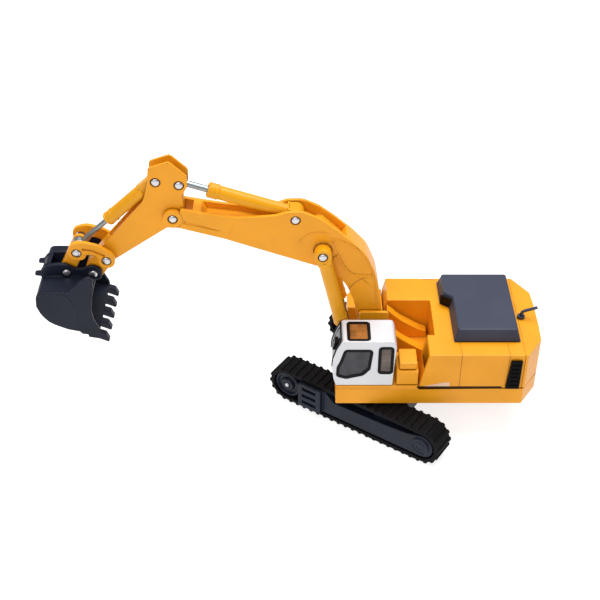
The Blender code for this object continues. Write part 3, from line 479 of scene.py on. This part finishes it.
# ---- pins ----
def pin(node, axes=MACHINE):
    """A plated rivet: a round bar with a domed, faintly dimpled head at each end."""
    shape = frame["nodes"][node]
    corners = [in_mm(shape.matrix_world @ v.co, axes) for v in shape.data.vertices]
    low = Vector([min(c[k] for c in corners) for k in range(3)])
    high = Vector([max(c[k] for c in corners) for k in range(3)])
    r = (high.x - low.x) / 2
    length = high.y - low.y
    head = [(0, 0.1), (r * 0.34, 0.02), (r * 0.66, 0.1), (r * 0.86, 0.28), (r * 0.97, 0.55), (r, 0.9)]
    profile = [*head, *((radius, length - along) for radius, along in head[::-1])]
    start = ((low.x + high.x) / 2, low.y, (low.z + high.z) / 2)
    piece(turned(profile, start, (0, 1, 0), 32), node + "_rivet", PIN, node, axes, sharp=60)


# ---- undercarriage ----
def undercarriage():
    cast("car_body", "car_body_moulding", NAVY, 0.35, axes=TRACKS)
    for side, sign in SIDES:
        cast("track_belt_" + side, "rubber_belt_" + side, RUBBER, 0.16, 2, 32, TRACKS)
        track_frame(side, sign)
        for kind in ("idler", "drive_sprocket"):
            cast("%s_%s" % (kind, side), "%s_wheel_%s" % (kind, side), NAVY, 0.2, axes=TRACKS)
        pin("idler_axle_" + side, TRACKS)
        pin("sprocket_axle_" + side, TRACKS)


def track_frame(side, sign):
    """The moulded side frame, with two raised rings on its wheel cover."""
    node = "track_frame_" + side
    cast(node, "side_frame_" + side, NAVY, 0.25, 3, axes=TRACKS)
    hub = in_mm(JOINTS["sprocket_%s_spin" % side], TRACKS)
    cover_face = 27.3
    foot, crown, sunk, rise = 0.22, 0.16, 0.1, 0.16
    for k, radius in enumerate((3.35, 1.75)):
        profile = [(radius - foot, -sunk), (radius + foot, -sunk),
                   (radius + crown, rise), (radius - crown, rise)]
        ring = turned(profile, (hub.x, cover_face * sign, hub.z), (0, sign, 0))
        add_to(node, ring, "wheel_cover_ring_%s_%d" % (side, k), NAVY, TRACKS)


# ---- upper structure ----
def upper():
    cast("deck", "deck_casting", YELLOW, 0.4, 3)
    housing()
    counterweight()
    sill_marks()
    hood()
    for side, _ in SIDES:
        cast("vent_grille_" + side, "grille_" + side, VENT_BLACK, 0.12)
    cast("side_platform", "platform_casting", YELLOW, 0.55, 3)
    cast("tool_box", "tool_box_casting", YELLOW, 0.6, 3)
    cast("fuel_tank", "fuel_tank_casting", YELLOW, 0.5, 3)
    cast("boom_mount", "boom_bracket", YELLOW, 0.22)
    cast("swing_rivet", "swing_rivet_plated", PIN, 0.3)
    pin("boom_foot_pin")
    pin("cylinder_foot_pin")


def housing():
    """The hollow casting over the engine, with its panel seams and a latch on its far edge."""
    low, high = HOUSING_LOW, HOUSING_HIGH
    half, side_depth, top_depth, past = 0.13, 0.25, 0.22, 1
    hood_side = -16.9
    latch_front, latch_back, latch_inset = 13.3, 19.0, 0.1
    seams = [box((x - half, y - side_depth, low.z - past), (x + half, y + side_depth, high.z + past))
             for x in HOUSING_SEAMS for y in (low.y, high.y)]
    seams += [box((x - half, low.y - past, high.z - top_depth), (x + half, hood_side, high.z + past))
              for x in HOUSING_SEAMS]
    latch = box((latch_front, high.y - 0.9, high.z - 0.7), (latch_back, high.y + past, high.z + past))
    shell = soften(from_cad("engine_housing"), 0.32, 3)
    piece(cut(shell, latch, *seams), "housing_casting", YELLOW, "engine_housing")
    handle = [(x, high.y - 0.3, high.z - 0.3) for x in (latch_front + latch_inset, latch_back - latch_inset)]
    add_to("engine_housing", bead(handle, 0.28), "housing_latch", YELLOW_DEEP)


def counterweight():
    """The counterweight, with its front brought up to the housing's back."""
    joint = 0.02
    weight = from_cad("counterweight")
    front = min(v.co.x for v in weight.data.vertices)
    for v in weight.data.vertices:
        if v.co.x < front + 0.01:
            v.co.x = HOUSING_HIGH.x + joint
    piece(soften(weight, 0.3, 3), "counterweight_casting", YELLOW, "counterweight")


def sill_marks():
    """The dark line along the foot of the housing's sides, and the pale wedge on it."""
    foot = HOUSING_LOW.z
    sunk, proud = 0.1, 0.06
    line = [(8.9, foot + 0.1), (41.6, foot + 0.1), (41.6, foot + 0.75), (8.9, foot + 0.75)]
    wedge = [(11.6, foot + 0.85), (21.4, foot + 0.85), (21.4, foot + 2.75), (19.2, foot + 2.75)]
    for side, sign in SIDES:
        y = HOUSING_LOW.y if sign < 0 else HOUSING_HIGH.y
        near, far = sorted((y - sign * sunk, y + sign * proud))
        add_to("vent_grille_" + side, extruded(line, near, far), "sill_line_" + side, BLACK)
        add_to("engine_housing", extruded(wedge, near, far), "sill_stripe_" + side, PALE)


def hood():
    """The grey engine cover, its exhaust, and a black piece of painted shade in its notched corner."""
    cast("engine_hood", "hood_moulding", HOOD, 1.0, 5, 35)
    piece(from_cad("exhaust_pipe"), "exhaust_moulding", HOOD, "exhaust_pipe")
    # A black block where the notch's inner corner lies in deep shade: painted shade, not an opening.
    notch = [(19.47, 7.23), (19.47, 7.73), (23.32, 4.93), (23.32, 4.28)]
    notch_shade = extruded(notch, HOUSING_HIGH.z + 0.3, HOUSING_HIGH.z + 4.6, upright=False)
    add_to("vent_grille_left", notch_shade, "hood_notch_painted_shade", BLACK)


# ---- cab ----
def pane_outline(node, axis):
    """A window pane's outline, seen along an axis: its outermost flat face's corners, in order."""
    with editing(from_cad(node)) as bm:
        face = min(bm.faces, key=lambda f: (f.normal - axis).length - f.calc_area() * 0.01)
        keep = [k for k in range(3) if abs(axis[k]) < 0.5]
        points = [(v.co[keep[0]], v.co[keep[1]]) for v in face.verts]
    return anticlockwise(points)


def cab():
    """The white cab shell with its panes, their black rims, and what shows inside."""
    low, high = box_mm("cab_shell")
    roof_low, roof_high = box_mm("roof_window")
    roof_low.y = low.y + 1.5
    gap = Vector((0.2, 0.2, 0))
    hole = box(roof_low - gap - Vector((0, 0, 3)), (roof_high.x + gap.x, roof_high.y + gap.y, high.z + 1))
    piece(soften(cut(from_cad("cab_shell"), hole), 0.3, 3), "cab_casting", WHITE, "cab_shell")
    sunk, proud, overlap, rounding = 0.5, 0.12, 0.2, 0.12
    for node, sign, look in (("door_window", -1, GLASS), ("side_window", -1, WARM_GLASS),
                             ("right_window", 1, GLASS)):
        y = low.y if sign < 0 else high.y
        outline = pane_outline(node, Vector((0, sign, 0)))
        near, far = sorted((y - sign * sunk, y + sign * proud))
        rim = extruded(inset(outline, -1.0), near, far, [inset(outline, overlap)])
        add_to("driver_seat", soften(rim, 0.08), node + "_rim", BLACK)
        cast(node, node + "_pane", look, rounding)
    corners = [(x, y, 0.6) for x, y in ((roof_low.x, roof_low.y), (roof_high.x, roof_low.y),
                                        (roof_high.x, roof_high.y), (roof_low.x, roof_high.y))]
    outline = rounded(corners)
    rim = extruded(inset(outline, -0.9), high.z - 0.4, high.z + 0.14, [inset(outline, 0.3)], upright=False)
    add_to("driver_seat", soften(rim, 0.08), "roof_window_rim", BLACK)
    piece(soften(box(roof_low, roof_high), rounding), "roof_window_pane", ROOF_GLASS, "roof_window")
    cast("rear_window", "rear_window_pane", GLASS, rounding)
    piece(from_cad("windshield"), "windshield_pane", GLASS, "windshield")
    windshield_trim(low, high)
    cast("driver_seat", "seat_moulding", BLACK, 0.5, 3)
    cast("control_console", "console_moulding", BLACK, 0.4, 3)


def windshield_trim(low, high):
    """The black seal along the roof's front edge and down both pillars, and the wiper's motor."""
    top = (-20.75, 48.1)
    sides = (low.y + 1.0, high.y - 1.0)
    seal = [(top[0], y, top[1]) for y in (low.y + 0.9, high.y - 0.9)]
    add_to("driver_seat", bead(seal, 0.34), "windshield_top_seal", BLACK)
    pillar = smooth_path([top, (-22.5, 43.9), (-23.75, 39.6), (-24.05, 35.6)])
    for k, y in enumerate(sides):
        line = bead([(p.x, y, p.y) for p in pillar], 0.26)
        add_to("driver_seat", line, "windshield_side_seal_%d" % k, BLACK)
    outline = rounded([(-23.9, 41.6, 0.3), (-22.7, 41.6), (-21.7, 45.6), (-23.0, 45.6, 0.3)])
    motor = soften(extruded(outline, low.y + 3.4, low.y + 6.6), 0.15)
    add_to("driver_seat", motor, "wiper_motor", BLACK)


# ---- boom, arm and their cylinders ----
def boom():
    """The boom with its recessed panels, seams and the ring round its cross pin."""
    panel = rounded([(-24.2, 81.0, 1), (-20.2, 80.9, 1.5), (-14.0, 76.7, 8), (-10.6, 71.5, 8),
                     (-8.6, 65.2, 0.4), (-12.7, 64.9, 3), (-17.4, 66.4, 3), (-20.3, 70.5, 3),
                     (-22.4, 75.6, 0.5)])
    wedge = rounded([(-78.9, 88.3), (-66.0, 85.2), (-78.5, 89.7, 0.4)])
    seams = [band(smooth_path(path), 0.42) for path in (
        [(-17.3, 58.5), (-15.0, 61.5), (-12.0, 63.6), (-9.2, 64.3)],
        [(-21.3, 75.8), (-19.9, 78.1), (-23.1, 80.3)],
        [(-24.6, 72.6), (-23.4, 73.5), (-22.4, 74.0)],
        [(-15.5, 67.5), (-15.4, 66.5), (-15.4, 65.6)])]
    inner, outer, ring_depth, past = 3.0, 3.7, 0.6, 2
    ring = [(inner, -ring_depth), (outer, -ring_depth), (outer, past), (inner, past)]
    tools = []
    for _, sign in SIDES:
        for outline, depth in ((panel, 0.36), (wedge, 0.4), *((seam, 0.35) for seam in seams)):
            near, far = sorted((sign * (BOOM_HALF - depth), sign * (BOOM_HALF + past)))
            tools.append(extruded(outline, near, far))
        start = (TRUNNION[0], sign * BOOM_HALF, TRUNNION[1])
        tools.append(turned(ring, start, (0, sign, 0)))
    piece(soften(cut(from_cad("boom"), *tools), 0.22), "boom_casting", YELLOW, "boom")
    for side, sign in SIDES:
        boom_side(side, sign)
    for node in ("trunnion_pin", "arm_cylinder_base_pin", "arm_pivot_pin"):
        pin(node)


def boom_side(side, sign):
    """The raised lines and small round marks on one side of the boom."""
    lines = (
        ("ridge", 0.36, [(-22.3, 74.6), (-20.2, 69.9), (-17.2, 65.9), (-12.7, 64.4), (-8.8, 64.2)]),
        ("arc", 0.24, [(-36.6, 80.3), (-34.4, 82.8), (-31.1, 84.4), (-25.9, 84.4)]),
        ("edge", 0.2, [(-25.1, 81.9), (-21.5, 81.3), (-17.4, 79.0), (-13.9, 76.1), (-11.2, 72.7),
                       (-9.3, 68.7), (-8.2, 64.0), (-7.2, 57.0), (-6.4, 48.4)]))
    for name, radius, path in lines:
        line = [(p.x, sign * (BOOM_HALF + 0.02), p.y) for p in smooth_path(path)]
        add_to("boom", bead(line, radius), "boom_%s_%s" % (name, side), YELLOW)
    for k, (x, z, radius) in enumerate(((-46.2, 82.1, 1.0), (-38.4, 78.5, 0.8), (-31.8, 89.3, 0.6))):
        profile = [(0, 0.16), (radius * 0.6, 0.13), (radius * 0.9, 0.05), (radius, -0.1), (0, -0.1)]
        mark = turned(profile, (x, sign * BOOM_HALF, z), (0, sign, 0), 24)
        add_to("boom", mark, "boom_boss_%s_%d" % (side, k), YELLOW)


def barrel(node, base, tip, y, radius, places):
    """A cylinder barrel, with turned rings of that radius on its collar at places along it."""
    cast(node, node + "_casting", YELLOW_DEEP, 0.22)
    way = (Vector((tip[0], 0, tip[1])) - Vector((base[0], 0, base[1]))).normalized()
    root = Vector((base[0], y, base[1]))
    inside, shoulder, crown = radius - 0.5, radius - 0.05, radius + 0.12
    half, half_crown = 0.28, 0.12
    profile = [(inside, -half), (shoulder, -half), (crown, -half_crown),
               (crown, half_crown), (shoulder, half), (inside, half)]
    for k, along in enumerate(places):
        add_to(node, turned(profile, root + way * along, way), "%s_ring_%d" % (node, k), YELLOW_DEEP)


def rod(body, side=""):
    """A drawn steel rod with its eye."""
    cast("%s_cylinder_rod%s" % (body, side), "%s_cylinder_piston%s" % (body, side), ROD, 0.15, angle=60)


def cylinders():
    bore, rim, chamfer, width, edge = 1.5, 2.85, 2.6, 1.15, 0.9
    boss = [(bore, 0), (rim, 0), (rim, edge), (chamfer, width), (bore, width)]
    for side, sign in SIDES:
        node = "boom_cylinder_barrel_" + side
        y = in_mm(JOINTS["boom_barrel_%s_tilt" % side]).y
        barrel(node, TRUNNION, BOOM_CYL_FOOT, y, 2.75, (29.4, 32.2))
        start = (TRUNNION[0], sign * (BOOM_HALF + 0.25), TRUNNION[1])
        add_to(node, turned(boss, start, (0, sign, 0)), "trunnion_boss_" + side, YELLOW_DEEP)
        rod("boom", "_" + side)
    barrel("arm_cylinder_barrel", ARM_CYL_BASE, ARM_ROD_PIN, 0, 2.85, (29.9, 31.4, 32.9))
    rod("arm")
    barrel("bucket_cylinder_barrel", BUCKET_CYL_BASE, LINK_PIN, 0, 2.6, (22.6, 25.4))
    rod("bucket")


def arm():
    cast("arm", "arm_casting", YELLOW, 0.28, 3)
    for node in ("arm_rod_pin", "bucket_cylinder_base_pin", "rocker_pivot_pin"):
        pin(node)


def linkage():
    """The two curved rocker links, grooved on their outer faces, and the tipping link between them."""
    groove = band(smooth_path([(-117.0, 77.9), (-113.5, 77.3), (-110.5, 75.8), (-109.1, 75.0)]), 0.9)
    groove_floor, past = 5.8, 8
    for side, sign in SIDES:
        near, far = sorted((sign * groove_floor, sign * past))
        shape = cut(from_cad("rocker_link_" + side), extruded(groove, near, far))
        piece(soften(shape, 0.25, 3), "rocker_casting_" + side, YELLOW, "rocker_link_" + side)
    pin("rocker_link_pin")
    cast("tipping_link", "tipping_link_casting", YELLOW, 0.3)


def bucket():
    """The bucket with a raised line round its side panels and along its cheeks."""
    low, high = box_mm("bucket")
    shape = from_cad("bucket")
    for v in shape.data.vertices:
        if abs(abs(v.co.y) - LINK_BAY_HALF) < 0.1:
            v.co.y = math.copysign(LINK_BAY_HALF, v.co.y)
    merge(shape)
    piece(soften(shape, 0.3, 3), "bucket_moulding", NAVY, "bucket")
    lines = (
        ("side", 0.2, [(-134.3, 62.2), (-132.8, 63.3), (-128.8, 63.5), (-124.4, 63.3), (-122.6, 61.6),
                       (-121.2, 58.0), (-121.1, 52.5), (-120.6, 48.6)]),
        ("cheek", 0.22, [(-115.6, 70.6), (-117.6, 68.9), (-120.4, 66.6), (-123.0, 64.6), (-124.0, 63.3)]))
    for side, sign in SIDES:
        y = (low.y if sign < 0 else high.y) - sign * 0.04
        for name, radius, path in lines:
            line = bead([(p.x, y, p.y) for p in smooth_path(path)], radius)
            add_to("bucket", line, "bucket_%s_bead_%s" % (name, side), NAVY)
    pin("bucket_link_pin")
    pin("bucket_pivot_pin")


# ---- stage, light and camera ----
def stage():
    """A pale floor that glows a little, a soft sky and two broad lamps."""
    bpy.ops.mesh.primitive_plane_add(size=4.0, location=(0, 0, 0))
    floor = bpy.context.object
    floor.name = "studio_floor"
    white = surface("studio_white", (0.42, 0.42, 0.42), 0.7, specular=0.1, mottle=0.004, mottle_scale=6,
                    bump=0.0)
    glow = white.node_tree.nodes["Principled BSDF"]
    glow.inputs["Emission Color"].default_value = (1, 1, 1, 1)
    glow.inputs["Emission Strength"].default_value = 0.78
    floor.data.materials.append(white)
    world = bpy.data.worlds.new("soft_sky")
    world.use_nodes = True
    background = world.node_tree.nodes["Background"]
    background.inputs["Color"].default_value = (1, 1, 1, 1)
    background.inputs["Strength"].default_value = 0.36
    bpy.context.scene.world = world
    aim = Vector((0, 0, 0.03))
    for name, spot, size, power in (("key", (-0.3, -0.6, 0.7), 0.7, 3.1),
                                    ("top", (0.15, 0.2, 0.95), 0.9, 10.6)):
        light = bpy.data.lights.new(name, "AREA")
        light.shape = "DISK"
        light.size = size
        light.energy = power
        lamp = bpy.data.objects.new(name, light)
        bpy.context.scene.collection.objects.link(lamp)
        lamp.location = spot
        lamp.rotation_euler = (aim - Vector(spot)).to_track_quat("-Z", "Y").to_euler()


def camera():
    """A camera above the toy's left side, looking down at it."""
    data = bpy.data.cameras.new("photo_camera")
    data.lens = 69.79
    data.sensor_width = 36
    view = bpy.data.objects.new("photo_camera", data)
    bpy.context.scene.collection.objects.link(view)
    view.location = (0.0036, -0.35846, 0.3283)
    view.rotation_euler = (math.radians(52.05), 0, 0)
    bpy.context.scene.camera = view


undercarriage()
upper()
cab()
boom()
cylinders()
arm()
linkage()
bucket()
stage()
camera()
bpy.context.scene.view_settings.view_transform = "Standard"
for left_over in list(WORKSHOP.objects):
    bpy.data.objects.remove(left_over, do_unlink=True)
bpy.data.collections.remove(WORKSHOP)
